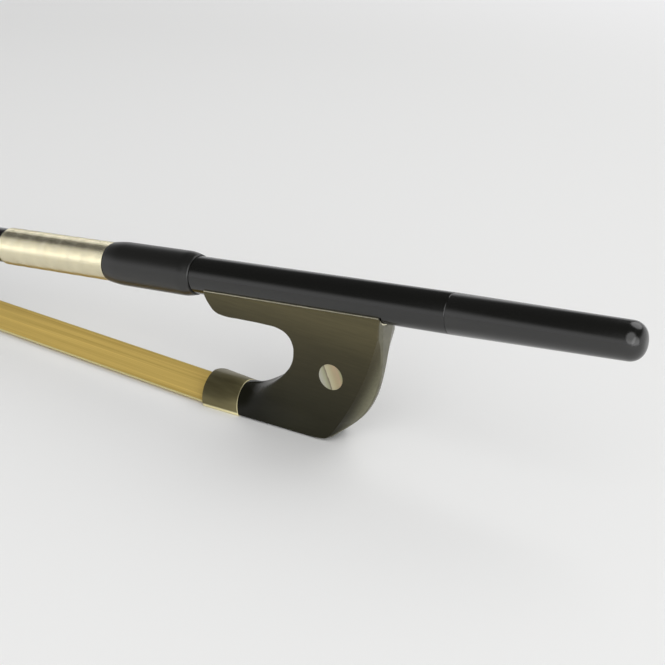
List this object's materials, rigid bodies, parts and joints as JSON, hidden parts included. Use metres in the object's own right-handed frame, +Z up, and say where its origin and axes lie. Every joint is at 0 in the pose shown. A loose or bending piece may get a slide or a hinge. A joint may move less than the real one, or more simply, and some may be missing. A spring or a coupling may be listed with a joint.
{
  "type": "double bass bow",
  "caption": "Underhand double bass bow with a round carbon stick, U-mouthed frog, D ferrule, hair ribbon, lapping, thumb grip and screw button.",
  "frame": {"origin": "halfway along the bow, on the width's middle, on the flat underside of the frog's slide", "axes": "+X along the hair towards the button, +Y across the hair ribbon, +Z up from the hair to the stick"},
  "size_m": [0.7395, 0.0212, 0.0654],
  "materials": {
    "carbon": "satin moulded carbon",
    "ebony": "polished ebony",
    "button_black": "polished black",
    "grip_leather": "satin",
    "silver": "fine wound wire",
    "nickel": "polished nickel silver",
    "brass": "turned",
    "steel": "turned",
    "pearl": "polished mother of pearl",
    "horsehair": "natural hair",
    "maple": "raw",
    "ivory_white": "polished",
    "liner_black": "satin",
    "knot_thread": "bound hair and thread"
  },
  "bodies": {
    "stick": {"stick": "carbon", "thumb_grip": "grip_leather", "lapping": "silver", "head_liner": "liner_black", "head_plate": "ivory_white", "head_knot": "knot_thread", "head_plug": "maple", "hair": "horsehair"},
    "frog": {"frog_body": "ebony", "underslide": "nickel", "eyelet": "brass", "eye_near": "pearl", "eye_far": "pearl", "ferrule": "nickel", "spread_wedge": "maple", "slide": "ebony", "slide_pearl": "pearl", "frog_knot": "knot_thread", "frog_plug": "maple"},
    "screw": {"screw": "steel", "button": "button_black"}
  },
  "joints": [
    {"name": "screw_turn", "type": "hinge", "parent": "stick", "child": "screw", "pos_m": [0.27167, 0, 0.0482], "axis": [0.9925, 0, 0.1219], "range_deg": [-1442, 2162]},
    {"name": "frog_slide", "type": "slide", "parent": "stick", "child": "frog", "axis": [0.9925, 0, 0.1219], "range_m": [-0.003, 0.0045], "deforming": ["hair"]}
  ],
  "couplings": [
    {"joint": "screw_turn", "follows": "frog_slide", "rad_per_m": 8377.6}
  ]
}
